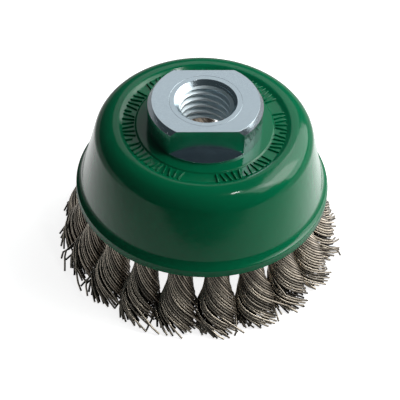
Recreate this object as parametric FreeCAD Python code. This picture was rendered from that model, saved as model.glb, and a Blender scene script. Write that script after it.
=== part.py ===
"""Knotted wire cup brush for an angle grinder, in millimetres.

The brush stands on its wire tips. The origin is on the spindle axis in the
plane of the tips, +Z runs up through the cup to the threaded nut, and the two
spanner flats of the nut face +Y and -Y.

Pieces: a pressed steel cup, a turned nut whose spigot is riveted over inside,
a dished knot plate clamped between them, and a ring of twisted wire knots,
each looped through its own hole in the skirt of the knot plate.
"""
import FreeCAD, Part
import math
import os

V = FreeCAD.Vector
UP = V(0, 0, 1)
CENTRE = V(0, 0, 0)

# Cup: one steel pressing, heights above the lower edge of its lip
sheet = 1.2
lip_radius = 31.0
lip_edge_height = 1.15
lip_round = 1.3
lip_flare = 1.32
flare_height = 3.0
throat_round = 4.0
wall_draft = 11.6
shoulder_round = 5.4
crown_height = 21.45
crown_land = 0.6
ring_depth = 0.75
ring_slope = 1.1
ring_width = 2.9
ring_round = 1.1
boss_rise = 0.3
boss_round = 0.3

# Nut: turned, with two spanner flats and an M14 thread
nut_diameter = 28.0
across_flats = 21.7
flat_height = 7.25
collar_thickness = 0.55
top_chamfer_width = 0.9
top_chamfer_height = 1.3
thread_diameter = 14.0
countersink_diameter = 15.3
spigot_diameter = 20.0
rivet_diameter = 24.4
rivet_height = 1.8
rivet_round = 1.2
spigot_clearance = 0.05

# Knot plate: a dished ring whose skirt the knots are looped through
plate_thickness = 1.8
plate_round = 3.2
skirt_web = 2.4
hole_clearance = 0.15

# Wire knots
knot_count = 19
first_knot_angle = 10.7
trim_length = 18.0
knot_depth_waist = 6.5
knot_depth_tips = 8.6
knot_gap_waist = 2.3
knot_gap_tips = 0.5
belly_height = 8.2
waist_height = 14.5
lip_clearance = 1.05
loop_diameter = 2.9
loop_drop = 7.7
loop_side_clearance = 0.15
loop_wall_clearance = 0.35
skirt_clearance = 0.5
strand_bundles = 8
groove_depth = 0.16
twist_pitch = 34.0
twist_rings = 10
shoulder_share = 0.22
neck_width = 5.0
neck_length = 7.0

# Heights above the wire tips
lip_z = trim_length
crown_z = lip_z + crown_height
ring_z = crown_z - ring_depth
seat_z = ring_z + boss_rise
ceiling_z = ring_z - sheet
plate_bottom_z = ceiling_z - plate_thickness
collar_z = seat_z + collar_thickness
nut_top_z = collar_z + flat_height
rivet_z = plate_bottom_z - rivet_height

# Hole through cup and knot plate for the spigot of the nut
stack_hole = spigot_diameter / 2 + spigot_clearance

# Cup wall, as a straight leaning line through its foot
wall_slope = math.tan(math.radians(wall_draft))
foot_radius = lip_radius - lip_flare
foot_z = lip_z + flare_height

# Top of the cup, from the shoulder inwards: crown, slope of the ring, ring and boss
shoulder_radius = foot_radius - (crown_z - foot_z) * wall_slope
shoulder_run = shoulder_round / math.tan(math.radians(90 + wall_draft) / 2)
crown_radius = shoulder_radius - shoulder_run - crown_land
ring_radius = crown_radius - ring_slope
boss_radius = ring_radius - ring_width - boss_rise


def wall_inner_radius(z):
    """Radius of the cup's inside wall at a height on its straight part."""
    outer = foot_radius - (z - foot_z) * wall_slope
    return outer - sheet / math.cos(math.radians(wall_draft))


# Centre line of a knot: it clears the lip below and lets its loop clear the wall above
loop_bend = (plate_thickness + loop_diameter) / 2 + loop_side_clearance
loop_reach = loop_bend + loop_diameter / 2
loop_z = ceiling_z - loop_drop
loop_level = loop_z + loop_reach * math.sin(math.radians(wall_draft))
loop_room = (loop_reach + loop_wall_clearance) * math.cos(math.radians(wall_draft))
loop_radius = wall_inner_radius(loop_level) - loop_room
knot_lip_radius = lip_radius - sheet - lip_clearance - knot_depth_waist / 2
splay = math.atan((knot_lip_radius - loop_radius) / (loop_z - lip_z))
knot_tip_radius = knot_lip_radius + lip_z * math.tan(splay)

# Places along the centre line of a knot, measured up from the tips
belly_place = belly_height / math.cos(splay)
waist_place = waist_height / math.cos(splay)
loop_place = loop_z / math.cos(splay)
hole_place = loop_place + loop_bend
loop_inner = loop_bend - loop_diameter / 2
loop_throat = math.sqrt(loop_inner ** 2 - (plate_thickness / 2) ** 2)
hole_radius = loop_bend - loop_throat + hole_clearance
skirt_place = hole_place - hole_radius - skirt_web
twist_top = skirt_place - skirt_clearance


def intersect(p, d, q, e):
    """Crossing of two lines in the (radius, height) plane, each a point and a direction."""
    cross = d[0] * e[1] - d[1] * e[0]
    t = ((q[0] - p[0]) * e[1] - (q[1] - p[1]) * e[0]) / cross
    return (p[0] + t * d[0], p[1] + t * d[1])


def direction(p, q):
    """Unit direction from one (radius, height) point to another."""
    length = math.hypot(q[0] - p[0], q[1] - p[1])
    return ((q[0] - p[0]) / length, (q[1] - p[1]) / length)


def inset(chain, distance):
    """Chain of (radius, height, round) corners moved to its right by a sheet thickness."""
    ways = [direction(a, b) for a, b in zip(chain[:-1], chain[1:])]
    lines = [((a[0] + w[1] * distance, a[1] - w[0] * distance), w) for a, w in zip(chain, ways)]
    last = (chain[-1][0] + ways[-1][1] * distance, chain[-1][1] - ways[-1][0] * distance)
    moved = [(lines[0][0][0], lines[0][0][1], 0)]
    for (p, d), (q, e), corner in zip(lines[:-1], lines[1:], chain[1:-1]):
        turns_right = d[0] * e[1] - d[1] * e[0] < 0
        x, z = intersect(p, d, q, e)
        moved.append((x, z, corner[2] - distance if turns_right else corner[2] + distance))
    moved.append((last[0], last[1], 0))
    return moved


def outline(corners):
    """Closed outline in the plane y = 0, with a tangent arc at each corner that has a round."""
    edges = []
    ends = []
    for before, corner, after in zip(corners[-1:] + corners[:-1], corners, corners[1:] + corners[:1]):
        back = direction(corner, before)
        ahead = direction(corner, after)
        if corner[2] <= 0:
            ends.append((corner[:2], corner[:2], None))
            continue
        half = math.acos(back[0] * ahead[0] + back[1] * ahead[1]) / 2
        run = corner[2] / math.tan(half)
        start = (corner[0] + back[0] * run, corner[1] + back[1] * run)
        end = (corner[0] + ahead[0] * run, corner[1] + ahead[1] * run)
        mid_way = direction((0, 0), (back[0] + ahead[0], back[1] + ahead[1]))
        reach = corner[2] / math.sin(half) - corner[2]
        middle = (corner[0] + mid_way[0] * reach, corner[1] + mid_way[1] * reach)
        ends.append((start, end, middle))
    for (start, end, middle), following in zip(ends, ends[1:] + ends[:1]):
        if middle is not None:
            edges.append(Part.Arc(*[V(r, 0, z) for r, z in (start, middle, end)]).toShape())
        edges.append(Part.LineSegment(*[V(r, 0, z) for r, z in (end, following[0])]).toShape())
    return Part.Wire(edges)


def turned(corners):
    """Solid of revolution about the spindle axis from an outline of corners."""
    return Part.Face(outline(corners)).revolve(CENTRE, UP, 360)


def cup():
    """Pressed sheet cup: flared lip, leaning wall, rounded shoulder, sunk ring and raised boss."""
    sheet_top = [
        (stack_hole, ring_z, 0),
        (ring_radius, ring_z, ring_round),
        (crown_radius, crown_z, ring_round),
        (shoulder_radius, crown_z, shoulder_round),
        (foot_radius, foot_z, throat_round),
        (lip_radius, lip_z + lip_edge_height, lip_round),
        (lip_radius, lip_z, 0),
    ]
    boss = [
        (stack_hole, seat_z, 0),
        (boss_radius, seat_z, boss_round),
        (boss_radius + boss_rise, ring_z, boss_round),
    ]
    inside = inset(sheet_top, sheet)
    return turned(boss + sheet_top[1:] + inside[::-1])


def arbor_nut():
    """Turned nut: flats over a round collar, a spigot through the stack and a riveted rim."""
    top_radius = nut_diameter / 2 - top_chamfer_width
    bore = thread_diameter / 2
    countersink = countersink_diameter / 2 - bore
    blank = turned([
        (bore, nut_top_z - countersink, 0),
        (bore + countersink, nut_top_z, 0),
        (top_radius, nut_top_z, 0),
        (nut_diameter / 2, nut_top_z - top_chamfer_height, 0),
        (nut_diameter / 2, seat_z, 0),
        (spigot_diameter / 2, seat_z, 0),
        (spigot_diameter / 2, plate_bottom_z, 0),
        (rivet_diameter / 2, plate_bottom_z, 0),
        (rivet_diameter / 2, rivet_z, rivet_round),
        (bore + countersink, rivet_z, 0),
        (bore, rivet_z + countersink, 0),
    ])
    margin = nut_diameter
    for side in (1, -1):
        corner = V(-margin, across_flats / 2 if side > 0 else -across_flats / 2 - margin, collar_z)
        blank = blank.cut(Part.makeBox(2 * margin, margin, flat_height + margin, corner))
    return blank


def knot_frame(angle):
    """Tip centre, outward direction, tangent and centre-line direction of the knot at an angle."""
    outward = V(math.cos(angle), math.sin(angle), 0)
    tangent = V(-math.sin(angle), math.cos(angle), 0)
    along = UP * math.cos(splay) - outward * math.sin(splay)
    normal = outward * math.cos(splay) + UP * math.sin(splay)
    return outward * knot_tip_radius, tangent, normal, along


def knot_angle(number):
    """Angle about the spindle of a knot, counted from nought."""
    return math.radians(first_knot_angle) + number * 2 * math.pi / knot_count


def knot_plate():
    """Dished plate under the cup's roof, with one round hole through its skirt for each knot."""
    half = plate_thickness / 2
    across = (math.cos(splay), math.sin(splay))
    down = (math.sin(splay), -math.cos(splay))
    outer_start = (knot_tip_radius + across[0] * half, across[1] * half)
    corner = intersect(outer_start, down, (0, ceiling_z), (1, 0))
    edge = (outer_start[0] - down[0] * skirt_place, outer_start[1] - down[1] * skirt_place, 0)
    top = [(stack_hole, ceiling_z, 0), (corner[0], corner[1], plate_round), edge]
    plate = turned(top + inset(top, plate_thickness)[::-1])
    drills = []
    for number in range(knot_count):
        origin, tangent, normal, along = knot_frame(knot_angle(number))
        start = origin + along * hole_place - normal * plate_thickness
        drills.append(Part.makeCylinder(hole_radius, 2 * plate_thickness, start, normal))
    return plate.cut(Part.makeCompound(drills))


def eased(share):
    """Share kept between nought and one, with a soft start and end."""
    share = min(1, max(0, share))
    return share * share * (3 - 2 * share)


def knot_section(place):
    """Half sizes of a knot across and through the ring, and its groove depth, at a place."""
    radius = knot_tip_radius - place * math.sin(splay)
    pitch = 2 * radius * math.sin(math.pi / knot_count)
    waist = eased((place - belly_place) / (waist_place - belly_place))
    across = (pitch - knot_gap_tips - waist * (knot_gap_waist - knot_gap_tips)) / 2
    through = (knot_depth_tips + waist * (knot_depth_waist - knot_depth_tips)) / 2
    neck = eased(1 - (twist_top - place) / neck_length)
    across += neck * (neck_width / 2 - across)
    through += neck * (loop_reach - through)
    return across, through, groove_depth * (1 - neck)


def bundle_ring(frame, place):
    """Points round a knot at one place: a valley and two shoulders for each strand bundle.

    The rings lie square to the centre line at the top and turn level towards the
    tips, so that the lowest one is flat on the plane that the brush stands on.
    """
    origin, tangent, normal, along = frame
    across, through, groove = knot_section(place)
    turn = 2 * math.pi * (twist_top - place) / twist_pitch
    step = 2 * math.pi / strand_bundles
    level = math.tan(splay) * (1 - place / twist_top)
    points = []
    for number in range(strand_bundles):
        for share, size in ((0, 1 - groove), (0.5 - shoulder_share, 1), (0.5 + shoulder_share, 1)):
            angle = turn + (number + share) * step
            out = through * size * math.cos(angle)
            side = across * size * math.sin(angle)
            points.append(origin + along * (place - out * level) + normal * out + tangent * side)
    return points


def twisted_body(frame):
    """Left-hand twisted knot of strand bundles, narrow under the plate and flared at its tips."""
    rings = [bundle_ring(frame, twist_top * (1 - n / twist_rings)) for n in range(twist_rings + 1)]
    loops = [rings[0], rings[-1]]
    for upper, lower in zip(rings[:-1], rings[1:]):
        for here in range(len(upper)):
            beside = here - 1
            loops.append([upper[beside], upper[here], lower[beside]])
            loops.append([upper[here], lower[here], lower[beside]])
    faces = [Part.Face(Part.makePolygon(loop + loop[:1])) for loop in loops]
    shell = Part.Shell(faces)
    shell.sewShape()
    body = Part.makeSolid(shell)
    if body.Volume < 0:
        body.reverse()
    return body


def wire_loop(frame):
    """Hairpin of the folded wires: up one side of the skirt, through its hole and down the other."""
    origin, tangent, normal, along = frame
    foot = twist_top - loop_diameter / 2
    inner_foot = origin + along * foot - normal * loop_bend
    inner_top = origin + along * loop_place - normal * loop_bend
    crest = origin + along * hole_place
    outer_top = origin + along * loop_place + normal * loop_bend
    outer_foot = origin + along * foot + normal * loop_bend
    path = Part.Wire([
        Part.LineSegment(inner_foot, inner_top).toShape(),
        Part.Arc(inner_top, crest, outer_top).toShape(),
        Part.LineSegment(outer_top, outer_foot).toShape(),
    ])
    section = Part.Wire(Part.makeCircle(loop_diameter / 2, inner_foot, along))
    return path.makePipeShell([section], True, False)


def wire_knot():
    """One knot at angle nought: its hairpin loop joined to its twisted body."""
    frame = knot_frame(0)
    return twisted_body(frame).fuse(wire_loop(frame)).removeSplitter()


def save(name, shape):
    """Write one piece as a STEP file, after checking that it is a single sound solid."""
    solid = shape.Solids[0]
    assert len(shape.Solids) == 1 and solid.isValid(), name
    solid.exportStep("parts/%s.step" % name)
    print("%-12s volume %9.1f faces %4d" % (name, solid.Volume, len(solid.Faces)))


os.makedirs("parts", exist_ok=True)
save("cup", cup())
save("arbor_nut", arbor_nut())
save("knot_plate", knot_plate())
one_knot = wire_knot()
for knot_number in range(knot_count):
    placed = one_knot.copy()
    placed.rotate(CENTRE, UP, math.degrees(knot_angle(knot_number)))
    save("knot_%02d" % (knot_number + 1), placed)
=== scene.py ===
"""Looks of a knotted wire cup brush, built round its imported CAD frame.

The painted cup, the zinc plated nut with its thread and every wire of the
knots are modelled here at the places that the frame gives. The knot plate
keeps its CAD shape. The brush stands on its wire tips, with +Z up the spindle.
"""
from __future__ import annotations

import logging
import math
import random
from dataclasses import dataclass, field
from enum import Enum
from typing import Callable, Iterable, Sequence, Union

import bpy
from mathutils import Matrix, Vector

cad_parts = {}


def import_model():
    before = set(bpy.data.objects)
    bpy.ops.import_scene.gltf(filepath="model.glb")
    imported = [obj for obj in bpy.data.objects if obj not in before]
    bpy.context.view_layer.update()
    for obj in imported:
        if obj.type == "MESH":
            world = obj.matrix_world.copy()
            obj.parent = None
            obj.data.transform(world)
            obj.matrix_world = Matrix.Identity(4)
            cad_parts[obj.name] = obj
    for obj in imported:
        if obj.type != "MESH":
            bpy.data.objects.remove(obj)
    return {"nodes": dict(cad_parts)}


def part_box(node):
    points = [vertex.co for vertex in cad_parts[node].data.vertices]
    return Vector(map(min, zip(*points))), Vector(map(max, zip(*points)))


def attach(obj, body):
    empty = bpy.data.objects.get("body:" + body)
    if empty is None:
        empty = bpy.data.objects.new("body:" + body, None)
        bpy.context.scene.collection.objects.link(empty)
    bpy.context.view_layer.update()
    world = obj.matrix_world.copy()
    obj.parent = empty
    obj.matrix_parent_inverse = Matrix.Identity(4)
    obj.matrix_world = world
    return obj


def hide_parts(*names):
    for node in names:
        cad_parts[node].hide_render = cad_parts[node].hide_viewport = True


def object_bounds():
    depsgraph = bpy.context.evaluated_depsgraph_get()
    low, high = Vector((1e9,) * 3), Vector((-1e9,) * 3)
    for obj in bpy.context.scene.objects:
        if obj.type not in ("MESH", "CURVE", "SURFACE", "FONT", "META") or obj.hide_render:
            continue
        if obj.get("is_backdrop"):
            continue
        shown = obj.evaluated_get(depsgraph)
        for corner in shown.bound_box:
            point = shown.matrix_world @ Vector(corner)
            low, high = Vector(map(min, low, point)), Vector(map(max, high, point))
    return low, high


LOG = logging.getLogger("wire_cup_brush")
MM = 0.001
TAU = 2 * math.pi
GOLDEN_ANGLE = math.pi * (3 - math.sqrt(5))
WAVE_RADIANS = 20
CENTRE = (0.0, 0.0, 0.0)
DOUBLES = 0.001 * MM
ROOT = "root"


class Slot(Enum):
    """Names of material slots for the finishes of the new pieces."""

    GREEN_PAINT = "green_paint"
    ZINC_PLATE = "zinc_plate"
    SPRING_WIRE = "spring_wire"


class Mark(Enum):
    """Plain raised bars round the nut, as (share of the length, lean in degrees)."""

    STRAIGHT = (1.0, 0.0)
    LEANING_LEFT = (1.0, 15.0)
    LEANING_RIGHT = (1.0, -15.0)
    SHORT = (0.62, 0.0)


Value = Union[float, Sequence[float], "Socket"]
Spot = tuple[float, float]


class Socket:
    """Output of a shader node that takes part in ordinary arithmetic."""

    def __init__(self, tree: "Shader", link: bpy.types.NodeSocket) -> None:
        """Wrap one output socket.

        Args:
            tree: Shader that the socket belongs to.
            link: Blender's own output socket.
        """
        self.tree = tree
        self.link = link

    def _maths(self, operation: str, first: Value, second: Value) -> "Socket":
        """Add one Math node and return its output."""
        return self.tree.node("ShaderNodeMath", {"operation": operation}, {0: first, 1: second})

    def __add__(self, other: Value) -> "Socket":
        """Sum with a number or a socket."""
        return self._maths("ADD", self, other)

    __radd__ = __add__

    def __sub__(self, other: Value) -> "Socket":
        """Difference from a number or a socket."""
        return self._maths("SUBTRACT", self, other)

    def __rsub__(self, other: Value) -> "Socket":
        """Number minus this socket."""
        return self._maths("SUBTRACT", other, self)

    def __mul__(self, other: Value) -> "Socket":
        """Product with a number or a socket."""
        return self._maths("MULTIPLY", self, other)

    __rmul__ = __mul__

    def __truediv__(self, other: Value) -> "Socket":
        """Quotient by a number or a socket."""
        return self._maths("DIVIDE", self, other)

    def __gt__(self, other: Value) -> "Socket":
        """One where this socket is greater, nought elsewhere."""
        return self._maths("GREATER_THAN", self, other)

    def at_most(self, limit: float) -> "Socket":
        """This socket, or the limit where it is greater."""
        return self._maths("MINIMUM", self, limit)

    def at_least(self, limit: float) -> "Socket":
        """This socket, or the limit where it is less."""
        return self._maths("MAXIMUM", self, limit)


class Shader:
    """Node tree of one material or world, filled by calls."""

    def __init__(self, tree: bpy.types.NodeTree) -> None:
        """Empty a node tree, to be built up again.

        Args:
            tree: Node tree of a material or a world.
        """
        self.tree = tree
        tree.nodes.clear()

    def node(
        self, kind: str, settings: dict, inputs: dict, output: Union[int, str] = 0
    ) -> Socket:
        """Add a node.

        Args:
            kind: Blender's type name of the node.
            settings: Properties, set first.
            inputs: Values or links by socket name or number.
            output: Name or number of the output that is returned.

        Returns:
            The chosen output.
        """
        added = self.tree.nodes.new(kind)
        for name, setting in settings.items():
            setattr(added, name, setting)
        for name, value in inputs.items():
            if isinstance(value, Socket):
                self.tree.links.new(value.link, added.inputs[name])
            else:
                added.inputs[name].default_value = value
        return Socket(self, added.outputs[output])

    def place(self) -> Socket:
        """Object coordinates, in metres of the row frame."""
        return self.node("ShaderNodeTexCoord", {}, {}, "Object")

    def part(self, vector: Socket, axis: str) -> Socket:
        """One part of a vector, by its axis letter."""
        return self.node("ShaderNodeSeparateXYZ", {}, {0: vector}, axis)

    def length(self, vector: Socket) -> Socket:
        """Length of a vector."""
        return self.node("ShaderNodeVectorMath", {"operation": "LENGTH"}, {0: vector}, "Value")

    def noise(self, scale: float, detail: float) -> Socket:
        """Noise between nought and one, by waves to the metre and octaves."""
        inputs = {"Vector": self.place(), "Scale": scale, "Detail": detail}
        return self.node("ShaderNodeTexNoise", {}, inputs, "Fac")

    def mix(self, factor: Value, first: Value, second: Value) -> Socket:
        """Colour from the first, at nought, to the second, at one."""
        inputs = {0: factor, 6: first, 7: second}
        return self.node("ShaderNodeMix", {"data_type": "RGBA"}, inputs, 2)

    def grey(self, value: Socket) -> Socket:
        """Grey whose three channels are one number, which may pass one."""
        return self.node("ShaderNodeCombineXYZ", {}, {0: value, 1: value, 2: value})

    def bump(self, height: Socket, depth: float) -> Socket:
        """Normal that follows a height, whose full range is a depth in metres."""
        return self.node("ShaderNodeBump", {}, {"Height": height, "Distance": depth})

    def seen(self) -> Socket:
        """One for what the lens sees itself, nought elsewhere."""
        return self.node("ShaderNodeLightPath", {}, {}, "Is Camera Ray")

    def mirrored(self) -> Socket:
        """One for what is seen by way of metal, gloss or glass, nought elsewhere."""
        glossy = self.node("ShaderNodeLightPath", {}, {}, "Is Glossy Ray")
        return glossy + self.node("ShaderNodeLightPath", {}, {}, "Is Transmission Ray")

    def output(self, surface: Socket, kind: str = "ShaderNodeOutputMaterial") -> None:
        """Send a shader to the output."""
        end = self.tree.nodes.new(kind)
        self.tree.links.new(surface.link, end.inputs["Surface"])


def colour(red: float, green: float, blue: float) -> tuple[float, float, float, float]:
    """Opaque colour in linear light."""
    return (red, green, blue, 1.0)


class Finish:
    """What all finishes share: a name and the inputs of one Principled shader."""

    name = ""

    def surface(self, shader: Shader) -> dict[str, Value]:
        """Inputs of the Principled shader by name, which each finish gives."""
        raise NotImplementedError(self.name)

    def material(self) -> bpy.types.Material:
        """Build the finish.

        Returns:
            The finished material.
        """
        material = bpy.data.materials.new(self.name)
        material.use_nodes = True
        shader = Shader(material.node_tree)
        shader.output(shader.node("ShaderNodeBsdfPrincipled", {}, self.surface(shader)))
        return material


@dataclass(frozen=True)
class GreenEnamel(Finish):
    """Glossy dark green paint with the faint orange peel of a sprayed pressing."""

    name = "green_enamel"
    deep: tuple = colour(0.0, 0.148, 0.060)
    pale: tuple = colour(0.0, 0.172, 0.071)
    cloud_scale: float = 90.0
    peel_scale: float = 620.0
    peel_depth: float = 0.02 * MM
    roughness: float = 0.14
    roughness_range: float = 0.08
    shine: float = 0.4

    def surface(self, shader: Shader) -> dict[str, Value]:
        """Inputs of the paint.

        Args:
            shader: Shader that the nodes go into.

        Returns:
            Values and links by the name of their input.
        """
        cloud = shader.noise(self.cloud_scale, detail=3.0)
        peel = shader.noise(self.peel_scale, detail=1.0)
        return {
            "Base Color": shader.mix(cloud, self.deep, self.pale),
            "Roughness": self.roughness + (cloud - 0.5) * self.roughness_range,
            "Specular IOR Level": self.shine,
            "Normal": shader.bump(peel, self.peel_depth),
        }


@dataclass(frozen=True)
class ZincPlating(Finish):
    """Satin zinc over turned steel, plainer and duller in the bore.

    Level faces have fine turned rings, and the rest is mottled, with small
    pits on the outside. Depths of rings and pits are shares of the mottle's.
    """

    name = "zinc_plating"
    light: tuple = colour(0.62, 0.70, 0.76)
    dark: tuple = colour(0.50, 0.575, 0.635)
    level_limit: float = 0.9
    ring_spacing: float = 0.42 * MM
    ring_depth: float = 0.004 * MM
    ring_waver: float = 1.2
    ring_waver_scale: float = 0.4
    mottle_scale: float = 2600.0
    mottle_depth: float = 0.012 * MM
    level_calm: float = 0.6
    patch_scale: float = 260.0
    patch_share: float = 0.4
    grain_scale: float = 3600.0
    grain_middle: float = 0.2
    pit_scale: float = 800.0
    pit_share: float = 0.62
    pit_reach: float = 13.5 * MM
    pit_depth: float = 9.0
    roughness: float = 0.22
    roughness_range: float = 0.1
    bore_radius: float = 7.3 * MM
    bore_top: float = 45.7 * MM
    bore_tone: tuple = colour(0.70, 0.78, 0.82)
    bore_roughness: float = 0.55

    def rings(self, shader: Shader, place: Socket) -> Socket:
        """Height of the rings that the turning tool left.

        Args:
            shader: Shader that the nodes go into.
            place: Object coordinates.

        Returns:
            Height between nought and one.
        """
        settings = {"wave_type": "RINGS", "rings_direction": "Z", "wave_profile": "SIN"}
        inputs = {
            "Vector": place,
            "Scale": TAU / WAVE_RADIANS / self.ring_spacing,
            "Distortion": self.ring_waver,
            "Detail": 2.0,
            "Detail Scale": self.ring_waver_scale,
        }
        return shader.node("ShaderNodeTexWave", settings, inputs, "Fac")

    def surface(self, shader: Shader) -> dict[str, Value]:
        """Inputs of the plating.

        Args:
            shader: Shader that the nodes go into.

        Returns:
            Values and links by the name of their input.
        """
        normal = shader.node("ShaderNodeNewGeometry", {}, {}, "Normal")
        level = shader.part(normal, "Z") > self.level_limit
        place = shader.place()
        flat = {0: place, 1: (1.0, 1.0, 0.0)}
        reach = shader.length(shader.node("ShaderNodeVectorMath", {"operation": "MULTIPLY"}, flat))
        mottle = shader.noise(self.mottle_scale, detail=3.0)
        patch = shader.noise(self.patch_scale, detail=3.0)
        grain = shader.noise(self.grain_scale, detail=1.0)
        pits = (shader.noise(self.pit_scale, detail=0.0) > self.pit_share) * (reach > self.pit_reach)
        turned = self.rings(shader, place) * level * (self.ring_depth / self.mottle_depth)
        height = turned + mottle * (1 - level * self.level_calm) - pits * (1 - level) * self.pit_depth
        inside = self.bore_radius - reach > 0.0
        bore = inside * (self.bore_top - shader.part(place, "Z") > 0.0)
        blend = patch * self.patch_share + (grain - self.grain_middle)
        plated = shader.mix(blend, self.dark, self.light)
        duller = bore * (self.bore_roughness - self.roughness)
        return {
            "Base Color": shader.mix(bore, plated, self.bore_tone),
            "Metallic": 1.0,
            "Roughness": self.roughness + (patch - 0.5) * self.roughness_range + duller,
            "Normal": shader.bump(height, self.mottle_depth),
        }


@dataclass(frozen=True)
class PlateSteel(Finish):
    """Plain pressed steel with drawing marks and a dull film of oil."""

    name = "plate_steel"
    light: tuple = colour(0.42, 0.41, 0.40)
    dark: tuple = colour(0.22, 0.21, 0.20)
    patch_scale: float = 320.0
    grain_scale: float = 2400.0
    grain_depth: float = 0.006 * MM
    roughness: float = 0.42
    roughness_range: float = 0.2

    def surface(self, shader: Shader) -> dict[str, Value]:
        """Inputs of the steel.

        Args:
            shader: Shader that the nodes go into.

        Returns:
            Values and links by the name of their input.
        """
        patch = shader.noise(self.patch_scale, detail=4.0)
        grain = shader.noise(self.grain_scale, detail=2.0)
        return {
            "Base Color": shader.mix(patch, self.dark, self.light),
            "Metallic": 1.0,
            "Roughness": self.roughness + (patch - 0.5) * self.roughness_range,
            "Normal": shader.bump(grain, self.grain_depth),
        }


@dataclass(frozen=True)
class SpringWireSteel(Finish):
    """Bare drawn spring wire: each wire has its own tone and painted shade, with scale in patches."""

    name = "spring_wire_steel"
    bright: tuple = colour(0.86, 0.745, 0.61)
    # dark end of the tone blend, which also shows the painted shade of the knots
    dull_and_shade: tuple = colour(0.03, 0.027, 0.024)
    metal: float = 0.75
    roughness: float = 0.24
    roughness_range: float = 0.12
    scale_size: float = 900.0
    tone: str = "wire_tone_and_shade"
    tone_share: float = 0.85
    scale_share: float = 0.15

    def surface(self, shader: Shader) -> dict[str, Value]:
        """Inputs of the wire.

        Args:
            shader: Shader that the nodes go into.

        Returns:
            Values and links by the name of their input.
        """
        tone = shader.node("ShaderNodeAttribute", {"attribute_name": self.tone}, {}, "Fac")
        scale = shader.noise(self.scale_size, detail=2.0)
        blend = tone * self.tone_share + scale * self.scale_share
        return {
            "Base Color": shader.mix(blend, self.dull_and_shade, self.bright),
            "Metallic": self.metal,
            "Roughness": self.roughness + (scale - 0.5) * self.roughness_range,
        }


@dataclass(frozen=True)
class WhiteSweep(Finish):
    """White table that the lens sees as paper white, with the shadow kept.

    Metal and paint mirror a painted glow of it: painted light beside the brush,
    brightest on its right and fading with distance, a painted shadow in the
    brush's own shade, a painted pool of light under its middle, and nothing past
    the paper's front edge.
    """

    name = "white_sweep"
    paper: tuple = colour(0.8, 0.8, 0.8)
    mirrored_paper: tuple = colour(0.03, 0.03, 0.03)
    roughness: float = 0.9
    seen_glow: float = 0.85
    front_glow: float = 0.42
    # painted light beside the brush and on its right, in the mirrored glow
    side_glow: float = 1.45
    side_limit: float = 0.9
    right_light_gain: float = 0.5
    fade_start: float = 0.125
    fade_run: float = 0.065
    far_share: float = 0.2
    front_edge: float = -0.104
    # painted shadow of the brush in the mirrored glow
    shade_edge: float = 0.035
    shade_run: float = 0.026
    shade: float = 0.12
    # painted pool of light under the brush in the mirrored glow
    painted_pool_radius: float = 0.016
    painted_pool_glow: float = 0.6
    least_reach: float = 0.1 * MM

    def mirror_glow(self, shader: Shader) -> Socket:
        """Painted light and shadow that metal and paint mirror, by place on the table.

        Args:
            shader: Shader that the nodes go into.

        Returns:
            Strength, where one is white.
        """
        place = shader.place()
        across = shader.part(place, "X")
        ahead = shader.part(place, "Y")
        reach = shader.length(place) + self.least_reach
        # painted light: brightest beside the brush and on its right, fading with distance
        side = (ahead / reach + 1.0).at_most(self.side_limit)
        right = (across / reach).at_least(0.0)
        near = ((self.fade_start - reach) / self.fade_run).at_least(self.far_share)
        # painted shadow: the glow is darkened in the brush's own shade
        span = {1: self.shade_edge, 2: self.shade_edge + self.shade_run, 3: self.shade, 4: 1.0}
        soft = {"interpolation_type": "SMOOTHSTEP"}
        shade = shader.node("ShaderNodeMapRange", soft, {0: reach, **span})
        beside = side * self.side_glow * (right * self.right_light_gain + 1.0) * near
        table = (beside + (1.0 - side) * self.front_glow) * shade * (ahead > self.front_edge)
        # painted pool of light under the middle of the brush
        return table + (self.painted_pool_radius - reach > 0.0) * self.painted_pool_glow

    def surface(self, shader: Shader) -> dict[str, Value]:
        """Inputs of the table.

        Args:
            shader: Shader that the nodes go into.

        Returns:
            Values and links by the name of their input.
        """
        mirrored = shader.mirrored()
        glow = shader.seen() * self.seen_glow + mirrored * self.mirror_glow(shader)
        return {
            "Base Color": shader.mix(mirrored, self.paper, self.mirrored_paper),
            "Roughness": self.roughness,
            "Specular IOR Level": 0.0,
            "Emission Color": shader.grey(glow),
            "Emission Strength": 1.0,
        }


def eased(share: float) -> float:
    """Share kept between nought and one, with a soft start and end."""
    share = min(1.0, max(0.0, share))
    return share * share * (3 - 2 * share)


def set_down() -> None:
    """Leave edit mode and deselect everything."""
    if bpy.context.object and bpy.context.object.mode != "OBJECT":
        bpy.ops.object.mode_set(mode="OBJECT")
    bpy.ops.object.select_all(action="DESELECT")


def take_up(piece: bpy.types.Object) -> None:
    """Select one piece and make it active.

    Args:
        piece: Object that the next operators act on.
    """
    set_down()
    piece.select_set(True)
    bpy.context.view_layer.objects.active = piece


def edit_all(piece: bpy.types.Object) -> None:
    """Go to edit mode on a piece with all of it selected.

    Args:
        piece: Object that is edited.
    """
    take_up(piece)
    bpy.ops.object.mode_set(mode="EDIT")
    bpy.ops.mesh.select_all(action="SELECT")


def dress(piece: bpy.types.Object, material: bpy.types.Material) -> None:
    """Give a piece one material in place of those it has."""
    piece.data.materials.clear()
    piece.data.materials.append(material)


def finish_with(piece: bpy.types.Object, kind: str, **settings: object) -> None:
    """Add a modifier to a piece and apply it.

    Args:
        piece: Object that is changed.
        kind: Blender's type name of the modifier.
        settings: Properties of the modifier.
    """
    take_up(piece)
    modifier = piece.modifiers.new(kind.lower(), kind)
    for name, setting in settings.items():
        setattr(modifier, name, setting)
    bpy.ops.object.modifier_apply(modifier=modifier.name)


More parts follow.
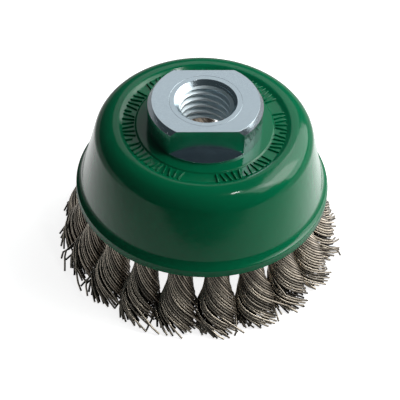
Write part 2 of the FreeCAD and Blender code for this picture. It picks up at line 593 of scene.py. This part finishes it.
def break_edges(piece: bpy.types.Object, width: float, angle: float, segments: int) -> None:
    """Bevel every edge sharper than an angle.

    Args:
        piece: Object that is changed.
        width: Width of the bevel.
        angle: Angle in degrees.
        segments: Facets across the bevel.
    """
    settings = {"limit_method": "ANGLE", "angle_limit": math.radians(angle), "segments": segments}
    finish_with(piece, "BEVEL", width=width, **settings)


def cut_away(piece: bpy.types.Object, cutter: bpy.types.Object) -> None:
    """Cut one solid out of another and drop it."""
    finish_with(piece, "BOOLEAN", operation="DIFFERENCE", object=cutter, solver="EXACT")
    bpy.data.objects.remove(cutter)


def select_edges(piece: bpy.types.Object, wanted: Callable[[Vector, Vector], bool]) -> None:
    """Go to edit mode with only the wanted edges selected.

    Args:
        piece: Object whose edges are tried.
        wanted: Test on the two ends of an edge.
    """
    take_up(piece)
    bpy.context.tool_settings.mesh_select_mode = (False, True, False)
    mesh = piece.data
    for part in (mesh.vertices, mesh.edges, mesh.polygons):
        part.foreach_set("select", [False] * len(part))
    for edge in mesh.edges:
        ends = [mesh.vertices[index].co for index in edge.vertices]
        if wanted(*ends):
            edge.select = True
    bpy.ops.object.mode_set(mode="EDIT")


def face_outwards(piece: bpy.types.Object) -> None:
    """Merge doubles and turn every face outwards.

    Args:
        piece: Object that is changed.
    """
    edit_all(piece)
    bpy.ops.mesh.remove_doubles(threshold=DOUBLES)
    bpy.ops.mesh.normals_make_consistent(inside=False)
    bpy.ops.object.mode_set(mode="OBJECT")


def smooth(piece: bpy.types.Object, angle: float) -> None:
    """Shade smooth, with edges over an angle in degrees kept sharp."""
    take_up(piece)
    bpy.ops.object.shade_smooth_by_angle(angle=math.radians(angle))


def hand_over(piece: bpy.types.Object, material: bpy.types.Material) -> None:
    """Dress a new piece and let it ride on the brush.

    Args:
        piece: Finished object.
        material: Its material.
    """
    dress(piece, material)
    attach(piece, ROOT)


@dataclass(frozen=True)
class Corner:
    """Corner of a turned outline: radius and height, and the radius of its round."""

    radius: float
    height: float
    round: float = 0.0

    def towards(self, other: "Corner") -> Vector:
        """Unit direction to another corner, in the outline's plane."""
        return Vector((other.radius - self.radius, other.height - self.height)).normalized()

    def run(self, before: "Corner", after: "Corner") -> float:
        """Length that the round takes from each side, between two neighbours."""
        half = self.towards(before).angle(self.towards(after)) / 2
        return self.round / math.tan(half)


@dataclass(frozen=True)
class Lathe:
    """Turns an outline of corners about the spindle axis."""

    sides: int = 168
    near: float = 0.02 * MM

    def at(self, corner: Corner) -> Callable[[Vector, Vector], bool]:
        """Make the test for the edges that lie round a corner's circle.

        Args:
            corner: Corner whose circle it is.

        Returns:
            Test on the two ends of an edge.
        """

        def on_circle(point: Vector) -> bool:
            """Whether a point lies on the circle."""
            level = abs(point.z - corner.height) < self.near
            return level and abs(point.xy.length - corner.radius) < self.near

        return lambda first, second: on_circle(first) and on_circle(second)

    def round_off(
        self, piece: bpy.types.Object, corners: Sequence[Corner], index: int, segments: int
    ) -> None:
        """Round one corner of a turned piece.

        Args:
            piece: Turned object.
            corners: Its outline.
            index: Number of the corner.
            segments: Facets across the round.
        """
        corner = corners[index]
        run = corner.run(corners[index - 1], corners[(index + 1) % len(corners)])
        select_edges(piece, self.at(corner))
        bpy.ops.mesh.bevel(offset=run, segments=segments, profile=0.5, affect="EDGES")
        bpy.ops.object.mode_set(mode="OBJECT")

    def turn(
        self, name: str, corners: Sequence[Corner], closed: bool, segments: int
    ) -> bpy.types.Object:
        """Build a turned piece.

        Args:
            name: Name of the new object.
            corners: Outline, from its start to its end.
            closed: Whether the end joins the start.
            segments: Facets in each round.

        Returns:
            The new object.
        """
        first = corners[0]
        set_down()
        bpy.ops.mesh.primitive_circle_add(
            vertices=self.sides, radius=first.radius, location=(0, 0, first.height), fill_type="NOTHING"
        )
        piece = bpy.context.object
        piece.name = name
        piece.data.name = name
        bpy.ops.object.transform_apply(location=True, rotation=True, scale=True)
        edit_all(piece)
        for before, after in zip(corners, corners[1:]):
            rise = {"value": (0, 0, after.height - before.height)}
            bpy.ops.mesh.extrude_region_move(TRANSFORM_OT_translate=rise)
            share = after.radius / before.radius
            bpy.ops.transform.resize(value=(share, share, 1.0), center_override=CENTRE)
        if closed:
            start = self.at(first)
            end = self.at(corners[-1])
            select_edges(piece, lambda a, b: start(a, b) or end(a, b))
            bpy.ops.mesh.bridge_edge_loops()
        bpy.ops.object.mode_set(mode="OBJECT")
        face_outwards(piece)
        inner = range(len(corners)) if closed else range(1, len(corners) - 1)
        for index in inner:
            if corners[index].round > 0:
                self.round_off(piece, corners, index, segments)
        return piece


@dataclass
class Cup:
    """Pressed and painted cup, with plain raised marks on the ring round the nut.

    Groups of marks run between angles in degrees, with bare gaps between them.
    """

    paint: bpy.types.Material
    lathe: Lathe
    sheet: float = 1.2 * MM
    hole: float = 10.05 * MM
    boss_rise: float = 0.3 * MM
    boss_radius: float = 16.6 * MM
    boss_round: float = 0.3 * MM
    ring_depth: float = 0.75 * MM
    ring_radius: float = 19.8 * MM
    ring_round: float = 1.1 * MM
    crown_radius: float = 20.9 * MM
    shoulder_radius: float = 25.91 * MM
    shoulder_round: float = 5.4 * MM
    foot_radius: float = 29.76 * MM
    foot_rise: float = 2.7 * MM
    throat_round: float = 2.9 * MM
    lip_edge_height: float = 1.92 * MM
    lip_round: float = 0.4 * MM
    cut_edge_round: float = 0.28 * MM
    cut_edge_angle: float = 60.0
    round_segments: int = 9
    smooth_angle: float = 32.0
    mark_length: float = 2.95 * MM
    mark_width: float = 0.42 * MM
    mark_height: float = 0.38 * MM
    mark_round: float = 0.15 * MM
    mark_inner: float = 17.05 * MM
    mark_pitch: float = 4.1
    mark_groups: tuple = (
        (27.0, 56.0), (64.0, 99.0), (108.0, 134.0), (143.0, 195.0),
        (201.0, 250.0), (277.0, 321.0), (331.0, 372.0),
    )
    mark_rhythm: tuple = (
        Mark.STRAIGHT, Mark.LEANING_LEFT, Mark.LEANING_LEFT, Mark.STRAIGHT,
        Mark.LEANING_RIGHT, Mark.SHORT, Mark.LEANING_RIGHT,
    )

    def corners(self) -> list[Corner]:
        """Draw the outside of the cup.

        Returns:
            Corners from the hole over the shoulder to the lip's lower edge.
        """
        low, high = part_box("cup")
        ring = high.z - self.ring_depth
        seat = ring + self.boss_rise
        return [
            Corner(self.hole, seat),
            Corner(self.boss_radius, seat, self.boss_round),
            Corner(self.boss_radius + self.boss_rise, ring, self.boss_round),
            Corner(self.ring_radius, ring, self.ring_round),
            Corner(self.crown_radius, high.z, self.ring_round),
            Corner(self.shoulder_radius, high.z, self.shoulder_round),
            Corner(self.foot_radius, low.z + self.foot_rise, self.throat_round),
            Corner(high.x, low.z + self.lip_edge_height, self.lip_round),
            Corner(high.x, low.z),
        ]

    def shell(self) -> bpy.types.Object:
        """Turn the outside, give it the sheet's thickness and break its cut edges.

        Returns:
            The bare shell.
        """
        corners = self.corners()
        piece = self.lathe.turn("cup_shell", corners, closed=False, segments=self.round_segments)
        finish_with(piece, "SOLIDIFY", thickness=self.sheet, offset=-1.0, use_even_offset=True)
        break_edges(piece, self.cut_edge_round, self.cut_edge_angle, segments=3)
        return piece

    def mark(self, kind: Mark, angle: float) -> bpy.types.Object:
        """Raised bar that lies along the radius or leans from it.

        Args:
            kind: Which of the plain marks it is.
            angle: Where it lies round the ring, in radians.

        Returns:
            The bar, in its place.
        """
        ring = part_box("cup")[1].z - self.ring_depth
        share, lean = kind.value
        length = self.mark_length * share
        middle = self.mark_inner + self.mark_length - length / 2
        set_down()
        bpy.ops.mesh.primitive_cube_add(size=1.0, location=(middle, 0, ring))
        bar = bpy.context.object
        bar.rotation_euler = (0, 0, math.radians(lean))
        bar.scale = (length, self.mark_width, 2 * self.mark_height)
        bpy.ops.object.transform_apply(location=True, rotation=True, scale=True)
        finish_with(bar, "BEVEL", width=self.mark_round, segments=2)
        bar.rotation_euler = (0, 0, angle)
        take_up(bar)
        bpy.ops.object.transform_apply(location=False, rotation=True, scale=False)
        return bar

    def marks(self) -> list[bpy.types.Object]:
        """Make all the raised marks.

        Returns:
            The bars, each in its place.
        """
        bars = []
        for start, end in self.mark_groups:
            count = int((end - start) / self.mark_pitch)
            for number in range(count + 1):
                angle = math.radians(start + number * (end - start) / count)
                bars.append(self.mark(self.mark_rhythm[number % len(self.mark_rhythm)], angle))
        return bars

    def build(self) -> None:
        """Build, dress and hand over the cup."""
        shell = self.shell()
        bars = self.marks()
        take_up(shell)
        for bar in bars:
            bar.select_set(True)
        bpy.ops.object.join()
        smooth(shell, self.smooth_angle)
        hand_over(shell, self.paint)
        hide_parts("cup")
        LOG.info("cup with %d raised marks", len(bars))


@dataclass
class ArborNut:
    """Turned nut with spanner flats, riveted rim and a coarse right-hand thread.

    The thread's form is given over one pitch, as (share of the pitch, share of
    the depth inwards).
    """

    plating: bpy.types.Material
    lathe: Lathe
    thread_radius: float = 7.0 * MM
    crest_radius: float = 6.05 * MM
    drill_radius: float = 5.9 * MM
    pitch: float = 2.0 * MM
    thread_form: tuple = (
        (0.0, 0.0), (0.0625, 0.0), (0.375, 1.0), (0.625, 1.0), (0.9375, 0.0), (1.0, 0.0),
    )
    thread_steps: int = 72
    spare_turns: int = 3
    countersink: float = 0.65 * MM
    top_chamfer_width: float = 0.9 * MM
    top_chamfer_height: float = 1.3 * MM
    seat_height: float = 39.0 * MM
    collar_height: float = 39.55 * MM
    plate_bottom: float = 35.7 * MM
    spigot_radius: float = 10.0 * MM
    rivet_radius: float = 12.2 * MM
    rivet_round: float = 1.2 * MM
    across_flats: float = 21.7 * MM
    edge_round: float = 0.13 * MM
    edge_angle: float = 30.0
    groove_radius: float = 8.85 * MM
    groove_size: float = 0.025 * MM
    round_segments: int = 12
    smooth_angle: float = 10.0

    def blank(self) -> bpy.types.Object:
        """Turn the nut before its flats are milled.

        Returns:
            The turned blank, with a plain bore.
        """
        low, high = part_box("arbor_nut")
        mouth = self.thread_radius + self.countersink
        sink = mouth - self.drill_radius
        corners = [
            Corner(self.drill_radius, high.z - sink),
            Corner(mouth, high.z),
            Corner(self.groove_radius - self.groove_size, high.z),
            Corner(self.groove_radius, high.z - self.groove_size),
            Corner(self.groove_radius + self.groove_size, high.z),
            Corner(high.x - self.top_chamfer_width, high.z),
            Corner(high.x, high.z - self.top_chamfer_height),
            Corner(high.x, self.seat_height),
            Corner(self.spigot_radius, self.seat_height),
            Corner(self.spigot_radius, self.plate_bottom),
            Corner(self.rivet_radius, self.plate_bottom),
            Corner(self.rivet_radius, low.z, self.rivet_round),
            Corner(mouth, low.z),
            Corner(self.drill_radius, low.z + sink),
        ]
        return self.lathe.turn("nut_body", corners, closed=True, segments=self.round_segments)

    def mill(self, nut: bpy.types.Object) -> None:
        """Mill the two flats down to the collar, and break the edges.

        Args:
            nut: Turned blank.
        """
        low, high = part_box("arbor_nut")
        reach = high.x - low.x
        for side in (1, -1):
            set_down()
            middle = (0, side * (self.across_flats + reach) / 2, self.collar_height + reach / 2)
            bpy.ops.mesh.primitive_cube_add(size=reach, location=middle)
            cut_away(nut, bpy.context.object)
        break_edges(nut, self.edge_round, self.edge_angle, segments=2)

    def thread_rod(self) -> bpy.types.Object:
        """Model a rod with the spindle's thread, longer than the nut at both ends.

        Returns:
            The closed rod.
        """
        low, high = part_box("arbor_nut")
        depth = self.thread_radius - self.crest_radius
        set_down()
        bpy.ops.mesh.primitive_plane_add(size=1.0)
        rod = bpy.context.object
        bpy.context.tool_settings.mesh_select_mode = (True, False, False)
        edit_all(rod)
        bpy.ops.mesh.merge(type="CENTER")
        bpy.ops.transform.translate(value=(self.thread_radius, 0, low.z - 2 * self.pitch))
        for (share, inward), (next_share, next_inward) in zip(self.thread_form, self.thread_form[1:]):
            step = ((inward - next_inward) * depth, 0, (next_share - share) * self.pitch)
            bpy.ops.mesh.extrude_region_move(TRANSFORM_OT_translate={"value": step})
        bpy.ops.object.mode_set(mode="OBJECT")
        turns = math.ceil((high.z - low.z) / self.pitch) + self.spare_turns
        finish_with(
            rod, "SCREW", axis="Z", angle=TAU, screw_offset=self.pitch, iterations=turns,
            steps=self.thread_steps, render_steps=self.thread_steps, use_merge_vertices=True,
            merge_threshold=DOUBLES,
        )
        for height, outwards in ((low.z - self.pitch / 2, -1.0), (high.z + self.pitch / 2, 1.0)):
            edit_all(rod)
            bpy.ops.mesh.bisect(
                plane_co=(0, 0, height), plane_no=(0, 0, outwards), clear_outer=True, use_fill=True
            )
            bpy.ops.object.mode_set(mode="OBJECT")
        face_outwards(rod)
        return rod

    def build(self) -> None:
        """Build, dress and hand over the nut."""
        nut = self.blank()
        self.mill(nut)
        cut_away(nut, self.thread_rod())
        smooth(nut, self.smooth_angle)
        hand_over(nut, self.plating)
        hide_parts("arbor_nut")
        LOG.info("nut with flats and thread")


@dataclass
class WireKnot:
    """One hank of spring wires, folded through its hole and twisted left-hand.

    Places are heights along the knot's own centre line, measured up from the
    tips. Offsets are outwards from the spindle and along the ring. Pairs are
    the least and most of a chance, or the middle and spread of a bell curve,
    and those of free, stray, short and cut wire are in millimetres.
    """

    number: int
    angle: float
    wire_count: int = 40
    wire_radius: float = 0.245 * MM
    wire_rounding: int = 2
    tip_radius: float = 30.4 * MM
    splay: float = math.radians(15.22)
    loop_place: float = 30.88 * MM
    loop_bend: float = 2.5 * MM
    loop_room: float = 1.26 * MM
    twist_top: float = 28.37 * MM
    twist_pitch: float = 30.0 * MM
    pitch_change: tuple = (0.93, 1.07)
    swirl: float = 0.25
    neck_length: float = 7.0 * MM
    half_depth: tuple = (4.3 * MM, 3.25 * MM)
    gaps: tuple = (-0.3 * MM, 2.6 * MM)
    belly_place: float = 5.0 * MM
    belly_run: float = 4.0 * MM
    waist_place: float = 13.6 * MM
    ring_count: int = 19
    body_steps: int = 20
    arc_steps: int = 6
    layers: tuple = ((30, 1.0), (27, 0.82), (17, 0.55), (6, 0.25))
    spot_turn: float = 0.07
    spot_sink: float = 0.04
    waver: tuple = (0.0, 0.008)
    waver_run: float = 5.0 * MM
    bulge: tuple = (0.02, 0.045)
    outer_share: float = 0.88
    free: tuple = (0.2, 2.4)
    swing: tuple = (0.85, 1.15)
    cut_least: float = 0.1
    cut_spread: float = 0.65
    cut_most: float = 2.2
    stray_chance: float = 0.12
    stray_free: tuple = (4.0, 7.0)
    stray_swing: tuple = (1.0, 1.3)
    short_chance: float = 0.1
    short_cut: tuple = (3.0, 9.5)
    short_free: tuple = (1.0, 2.5)
    slope_step: float = 0.2 * MM
    lowest_end: float = -3.2 * MM
    reach_limit: float = 35.1 * MM
    over_share: float = 0.1
    floor_rise: float = 0.26 * MM
    # painted shade: wires of the inner layers get a darker tone
    inner_shade_depth: float = 0.87
    inner_shade_slope: float = 12.0
    tones_between: tuple = (0.14, 1.06)
    # painted shade on the side of each wire that faces into the knot
    touch_shade_slope: float = 1.0
    touch_shade_level: float = 0.2
    smooth_angle: float = 60.0
    chance: random.Random = field(init=False)
    pitch: float = field(init=False)
    spots: list = field(init=False)
    tones_and_shade: list = field(init=False, default_factory=list)
    ways: list = field(init=False, default_factory=list)

    def __post_init__(self) -> None:
        """Seed the knot's own chance by its number, and draw its pitch and section."""
        self.chance = random.Random(700 + self.number)
        self.pitch = self.twist_pitch * self.chance.uniform(*self.pitch_change)
        self.spots = self.lattice()

    def half_sizes(self, place: float) -> tuple[float, float]:
        """Half depth and half width of the twisted part.

        Args:
            place: Height along the centre line.

        Returns:
            Half depth and half width, to the middle of the outer wires.
        """
        waist = eased((place - self.belly_place) / (self.waist_place - self.belly_place))
        depth = self.half_depth[0] + waist * (self.half_depth[1] - self.half_depth[0])
        gap = self.gaps[0] + waist * (self.gaps[1] - self.gaps[0])
        radius = self.tip_radius - place * math.sin(self.splay)
        width = radius * math.sin(math.pi / self.ring_count) - gap / 2 - self.wire_radius
        return depth - self.wire_radius, width

    def neck(self, place: float) -> float:
        """One at the top of the twist and nought where the knot has its full form."""
        return eased(1 - (self.twist_top - place) / self.neck_length)

    def lattice(self) -> list[Spot]:
        """Draw where the wires lie in the full section.

        Returns:
            Spots as (outwards, along) shares, layer by layer.
        """
        spots = []
        for count, share in self.layers:
            turn = self.chance.random() * TAU
            for index in range(count):
                shift = self.chance.uniform(-self.spot_turn, self.spot_turn)
                angle = turn + (index + 0.5 + shift) * TAU / count
                radius = share * (1 - self.chance.random() ** 2 * self.spot_sink)
                spots.append((radius * math.cos(angle), radius * math.sin(angle)))
        return spots

    def bunch(self) -> list[Spot]:
        """Place the folded wires in the round bunch that goes through the hole.

        Returns:
            Offset of each wire.
        """
        spots = []
        for index in range(self.wire_count):
            radius = self.loop_room * math.sqrt((index + 0.5) / self.wire_count)
            turn = index * GOLDEN_ANGLE
            spots.append((radius * math.cos(turn), radius * math.sin(turn)))
        return spots

    def paired(self, bunch: list[Spot], side: int) -> list[Spot]:
        """Spots of the full section for the wires of one leg, in the bunch's order.

        Args:
            bunch: Spots of the folded wires.
            side: One for the outer leg and minus one for the inner leg.

        Returns:
            One spot for each wire.
        """
        ranked = sorted(self.spots, key=lambda spot: side * -spot[0])[: self.wire_count]
        ranked.sort(key=lambda spot: spot[1])
        order = sorted(range(self.wire_count), key=lambda index: bunch[index][1])
        placed = [(0.0, 0.0)] * self.wire_count
        for index, spot in zip(order, ranked):
            placed[index] = spot
        return placed

    def body_offset(self, place: float, start: Spot, spot: Spot, wave: tuple) -> Spot:
        """Offsets of a wire in the twisted part.

        Args:
            place: Height along the centre line.
            start: Offsets at the top of the twist.
            spot: Shares of the full section.
            wave: Phase and size of the wire's waver, and how far it stands out at the belly.

        Returns:
            Outward offset and offset along the ring.
        """
        phase, waver, bulge = wave
        depth, width = self.half_sizes(place)
        below = max(0.0, self.waist_place - place)
        run = self.twist_top - place + self.swirl * below * below / (2 * self.waist_place)
        turn = TAU * run / self.pitch + waver * math.sin(phase + place / self.waver_run)
        belly = 1 + bulge * math.exp(-((place - self.belly_place) / self.belly_run) ** 2)
        full = Vector(spot) * belly
        full.rotate(Matrix.Rotation(turn, 2))
        tight = Vector(start)
        tight.rotate(Matrix.Rotation(turn, 2))
        mixed = Vector((full.x * depth, full.y * width)).lerp(tight, self.neck(place))
        return mixed.x, mixed.y

    def tip(self, outer: bool) -> tuple[float, float, float]:
        """Draw how a wire ends.

        Args:
            outer: Whether the wire lies on the outside, where it may stray or be short.

        Returns:
            Place where it leaves the twist, how far it swings out, and its cut place.
        """
        chance = self.chance
        free = chance.uniform(*self.free) * MM
        swing = chance.uniform(*self.swing)
        spread = abs(chance.gauss(0, self.cut_spread))
        cut = (self.cut_least + min(self.cut_most, spread)) * MM
        if outer and chance.random() < self.stray_chance:
            free = chance.uniform(*self.stray_free) * MM
            swing = chance.uniform(*self.stray_swing)
        elif outer and chance.random() < self.short_chance:
            cut = chance.uniform(*self.short_cut) * MM
            free = cut + chance.uniform(*self.short_free) * MM
        return free, swing, cut

    def leg(self, start: Spot, spot: Spot) -> list[Vector]:
        """Points of one leg of a wire, from the top of the twist to its cut tip.

        Args:
            start: Offsets at the top of the twist.
            spot: Shares of the full section.

        Returns:
            Points as (outward offset, offset along the ring, place).
        """
        chance = self.chance
        wave = (chance.random() * TAU, chance.gauss(*self.waver), chance.gauss(*self.bulge))
        free, swing, cut = self.tip(math.hypot(*spot) > self.outer_share)
        at_free = Vector(self.body_offset(free, start, spot, wave))
        above = Vector(self.body_offset(free + self.slope_step, start, spot, wave))
        slope = (at_free - above) / self.slope_step * swing
        end = cut
        for _ in range(3):
            reach = at_free.x + slope.x * max(0.0, free - end)
            end = cut / math.cos(self.splay) - reach * math.tan(self.splay)
        end = max(end, self.lowest_end)
        points = []
        for index in range(self.body_steps + 1):
            place = self.twist_top + (end - self.twist_top) * index / self.body_steps
            if place >= free:
                out, along = self.body_offset(place, start, spot, wave)
            else:
                out, along = at_free + slope * (free - place)
            points.append(Vector((out, along, place)))
        return points

    def arc(self, offset: Spot) -> list[Vector]:
        """Points of a wire's fold over the plate's web.

        Args:
            offset: Offset of the wire in the bunch.

        Returns:
            Points from the inner leg to the outer.
        """
        radius = self.loop_bend + offset[0]
        points = []
        for index in range(self.arc_steps + 1):
            angle = math.pi * (1 - index / self.arc_steps)
            place = self.loop_place + radius * math.sin(angle)
            points.append(Vector((radius * math.cos(angle), offset[1], place)))
        return points

    def axes(self) -> tuple[Vector, Vector, Vector, Vector]:
        """Directions of the knot in the row frame.

        Returns:
            Level outward, along the ring, up the centre line, and out from that line.
        """
        outward = Vector((math.cos(self.angle), math.sin(self.angle), 0))
        tangent = Vector((-math.sin(self.angle), math.cos(self.angle), 0))
        up = Vector((0, 0, 1))
        along = up * math.cos(self.splay) - outward * math.sin(self.splay)
        normal = outward * math.cos(self.splay) + up * math.sin(self.splay)
        return outward, tangent, along, normal

    def world(self, point: Vector) -> Vector:
        """Turn offsets and a place into the row frame, within the brush's reach.

        Args:
            point: Outward offset, offset along the ring, and place.

        Returns:
            The point in the row frame.
        """
        outward, tangent, along, normal = self.axes()
        place = outward * self.tip_radius + along * point.z + normal * point.x + tangent * point.y
        over = place.xy.length - self.reach_limit
        if over > 0:
            place.xy *= (self.reach_limit + over * self.over_share) / place.xy.length
        place.z = max(place.z, self.floor_rise)
        return place

    def facing(self, point: Vector) -> Vector:
        """Direction from the centre line out to a point of a wire, in the row frame."""
        _, tangent, _, normal = self.axes()
        return (normal * point.x + tangent * point.y).normalized()

    def routes(self) -> list[list[Vector]]:
        """Lay every wire, and draw the tones of its legs, with painted shade that darkens the wires of
        the inner layers.

        Returns:
            Route of every wire, from one tip over the fold to the other tip.
        """
        bunch = self.bunch()
        spots = {side: self.paired(bunch, side) for side in (1, -1)}
        routes = []
        for index, (in_plane, across) in enumerate(bunch):
            halves = {}
            for side in (-1, 1):
                spot = spots[side][index]
                halves[side] = self.leg((side * (self.loop_bend + in_plane), across), spot)
                # painted shade: wires of the inner layers get a darker tone
                depth = eased((math.hypot(*spot) - self.inner_shade_depth) * self.inner_shade_slope)
                self.tones_and_shade.append(depth * self.chance.uniform(*self.tones_between))
            points = halves[-1][::-1] + self.arc((in_plane, across)) + halves[1]
            self.ways.append([self.facing(point) for point in points])
            routes.append([self.world(point) for point in points])
        return routes

    def shades(self, mesh: bpy.types.Mesh, routes: list[list[Vector]]) -> list[float]:
        """Tone of every vertex: the wire's own on the outside, with painted shade where wires touch.

        The mesh holds the caps first, from the last wire to the first, then each wire's rings.

        Args:
            mesh: Mesh of the knot.
            routes: Route of every wire.

        Returns:
            One tone for each vertex.
        """
        length = len(routes[0])
        ring = len(mesh.vertices) // (self.wire_count * (length + 2))
        values = [shade for shade in reversed(self.tones_and_shade) for _ in range(ring)]
        for wire, (route, ways) in enumerate(zip(routes, self.ways)):
            for step, (centre, way) in enumerate(zip(route, ways)):
                shade = self.tones_and_shade[2 * wire + (2 * step > length)]
                for _ in range(ring):
                    # painted shade: the side of each wire that faces into the knot, where wires touch,
                    # is darkened
                    rise = (mesh.vertices[len(values)].co - centre).dot(way) / self.wire_radius
                    values.append(shade * eased(rise * self.touch_shade_slope + self.touch_shade_level))
        return values

    def strands(self, routes: list[list[Vector]]) -> bpy.types.Object:
        """Draw round wire along every route.

        Args:
            routes: Route of every wire.

        Returns:
            The wires, as one mesh object.
        """
        name = "knot_wires_%02d" % self.number
        curve = bpy.data.curves.new(name, "CURVE")
        curve.dimensions = "3D"
        curve.bevel_depth = self.wire_radius
        curve.bevel_resolution = self.wire_rounding
        curve.use_fill_caps = True
        for route in routes:
            spline = curve.splines.new("POLY")
            spline.points.add(len(route) - 1)
            spline.points.foreach_set("co", [value for point in route for value in (*point, 1.0)])
        piece = bpy.data.objects.new(name, curve)
        bpy.context.scene.collection.objects.link(piece)
        take_up(piece)
        bpy.ops.object.convert(target="MESH")
        return bpy.context.object

    def build(self, steel: bpy.types.Material, tone: str) -> int:
        """Build, dress and hand over the knot.

        Args:
            steel: Material of the wires.
            tone: Name of the attribute that holds each wire's own tone and painted shade.

        Returns:
            Number of triangles.
        """
        routes = self.routes()
        piece = self.strands(routes)
        mesh = piece.data
        shaded = mesh.attributes.new(tone, "FLOAT", "POINT")
        shaded.data.foreach_set("value", self.shades(mesh, routes))
        smooth(piece, self.smooth_angle)
        hand_over(piece, steel)
        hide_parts("knot_%02d" % self.number)
        return sum(len(face.vertices) - 2 for face in mesh.polygons)


@dataclass
class KnotRing:
    """Ring of wire knots and the plate that they are looped through."""

    wire: SpringWireSteel
    plate: PlateSteel
    first_angle: float = 10.7

    def build(self, nodes: dict) -> None:
        """Build every knot and dress the knot plate.

        Args:
            nodes: The frame's CAD nodes by name.
        """
        count = sum(name.startswith("knot_") and name != "knot_plate" for name in nodes)
        steel = self.wire.material()
        triangles = 0
        for index in range(count):
            angle = math.radians(self.first_angle) + index * TAU / count
            triangles += WireKnot(index + 1, angle).build(steel, self.wire.tone)
        LOG.info("%d knots of wire, %d triangles", count, triangles)
        dress(nodes["knot_plate"], self.plate.material())
        LOG.info("knot plate keeps its CAD shape")


@dataclass(frozen=True)
class Softbox:
    """Rectangular studio light that faces the brush."""

    name: str
    azimuth: float
    elevation: float
    distance: float
    width: float
    height: float
    power: float
    tint: tuple

    def place(self, target: Vector) -> None:
        """Hang the light and turn it to a target.

        Args:
            target: Point that it faces.
        """
        azimuth = math.radians(self.azimuth)
        elevation = math.radians(self.elevation)
        level = Vector((math.cos(azimuth), math.sin(azimuth), 0)) * math.cos(elevation)
        lamp = bpy.data.lights.new(self.name, "AREA")
        lamp.shape = "RECTANGLE"
        lamp.size = self.width
        lamp.size_y = self.height
        lamp.energy = self.power
        lamp.color = self.tint
        holder = bpy.data.objects.new(self.name, lamp)
        holder.location = target + (level + Vector((0, 0, math.sin(elevation)))) * self.distance
        holder.rotation_euler = (target - holder.location).to_track_quat("-Z", "Y").to_euler()
        bpy.context.scene.collection.objects.link(holder)


@dataclass
class Studio:
    """White table, soft lights, dim room and the photograph's camera."""

    softboxes: tuple = (
        Softbox("broad_right", 20.0, 34.0, 0.62, 0.62, 0.64, 3.55, (0.97, 1.0, 0.99)),
        Softbox("upper_right", -22.0, 46.0, 0.6, 0.18, 0.34, 0.36, (0.95, 1.0, 0.99)),
        Softbox("core_right", 1.0, 38.0, 0.5, 0.26, 0.24, 0.6, (1.0, 0.98, 0.94)),
        Softbox("top_back", 80.0, 40.0, 0.6, 0.44, 0.32, 0.34, (0.95, 0.99, 1.0)),
        Softbox("high", -33.0, 68.0, 0.8, 0.045, 0.045, 0.26, (1.0, 0.99, 0.97)),
    )
    room: tuple = colour(0.032, 0.034, 0.036)
    mirrored_room: tuple = colour(0.042, 0.056, 0.06)
    seen_room: tuple = colour(1.0, 1.0, 1.0)
    target: tuple = (0.0, 0.0, 18.0 * MM)
    camera_direction: tuple = (-0.0718, -0.9974)
    camera_elevation: float = math.radians(44.811)
    camera_distance: float = 0.7
    clip: tuple = (0.01, 20.0)
    roll: float = math.radians(2.684)
    pixels_per_mm: float = 4.049
    image_width: float = 400.0
    target_pixel: tuple = (201.847, 185.856)
    sensor: float = 36.0
    table_size: float = 6.0
    table_sides: int = 96

    def camera(self) -> None:
        """Create the camera at the photograph's angle and framing."""
        data = bpy.data.cameras.new("photo_camera")
        focal_pixels = self.pixels_per_mm * self.camera_distance / MM
        data.sensor_width = self.sensor
        data.lens = focal_pixels * self.sensor / self.image_width
        middle = self.image_width / 2
        data.shift_x = (middle - self.target_pixel[0]) / self.image_width
        data.shift_y = (self.target_pixel[1] - middle) / self.image_width
        data.clip_start, data.clip_end = self.clip
        holder = bpy.data.objects.new("photo_camera", data)
        level = Vector((*self.camera_direction, 0)).normalized() * math.cos(self.camera_elevation)
        back = level + Vector((0, 0, math.sin(self.camera_elevation)))
        holder.location = Vector(self.target) + back * self.camera_distance
        upright = back.to_track_quat("Z", "Y").to_matrix()
        holder.rotation_euler = (upright @ Matrix.Rotation(self.roll, 3, "Z")).to_euler()
        bpy.context.scene.collection.objects.link(holder)
        bpy.context.scene.camera = holder

    def table(self) -> None:
        """Lay the white table that the brush stands on."""
        set_down()
        bpy.ops.mesh.primitive_circle_add(
            vertices=self.table_sides, radius=self.table_size / 2, fill_type="NGON"
        )
        table = bpy.context.object
        table.name = "white_table"
        dress(table, WhiteSweep().material())
        table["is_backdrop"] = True

    def surroundings(self) -> None:
        """Give the room its dim light, seen white by the lens."""
        scene = bpy.context.scene
        scene.world = scene.world or bpy.data.worlds.new("room")
        scene.world.use_nodes = True
        shader = Shader(scene.world.node_tree)
        unseen = shader.mix(shader.mirrored(), self.room, self.mirrored_room)
        inputs = {"Color": shader.mix(shader.seen(), unseen, self.seen_room)}
        shader.output(shader.node("ShaderNodeBackground", {}, inputs), "ShaderNodeOutputWorld")

    def build(self) -> None:
        """Build the whole studio."""
        bpy.context.scene.view_settings.view_transform = "Standard"
        self.camera()
        self.table()
        self.surroundings()
        for softbox in self.softboxes:
            softbox.place(Vector(self.target))


def as_lists(box: Iterable[Iterable[float]]) -> list[list[float]]:
    """Box of two corners as plain lists."""
    return [[float(value) for value in corner] for corner in box]


def main() -> list[list[float]]:
    """Build the brush and its studio.

    Returns:
        The CAD model's box.
    """
    logging.basicConfig(level=logging.INFO, format="%(message)s")
    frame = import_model()
    cad_box = as_lists(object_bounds())
    Studio().build()
    lathe = Lathe()
    Cup(GreenEnamel().material(), lathe).build()
    ArborNut(ZincPlating().material(), lathe).build()
    KnotRing(SpringWireSteel(), PlateSteel()).build(frame["nodes"])
    return cad_box


if __name__ == "__main__":
    cad_size = main()
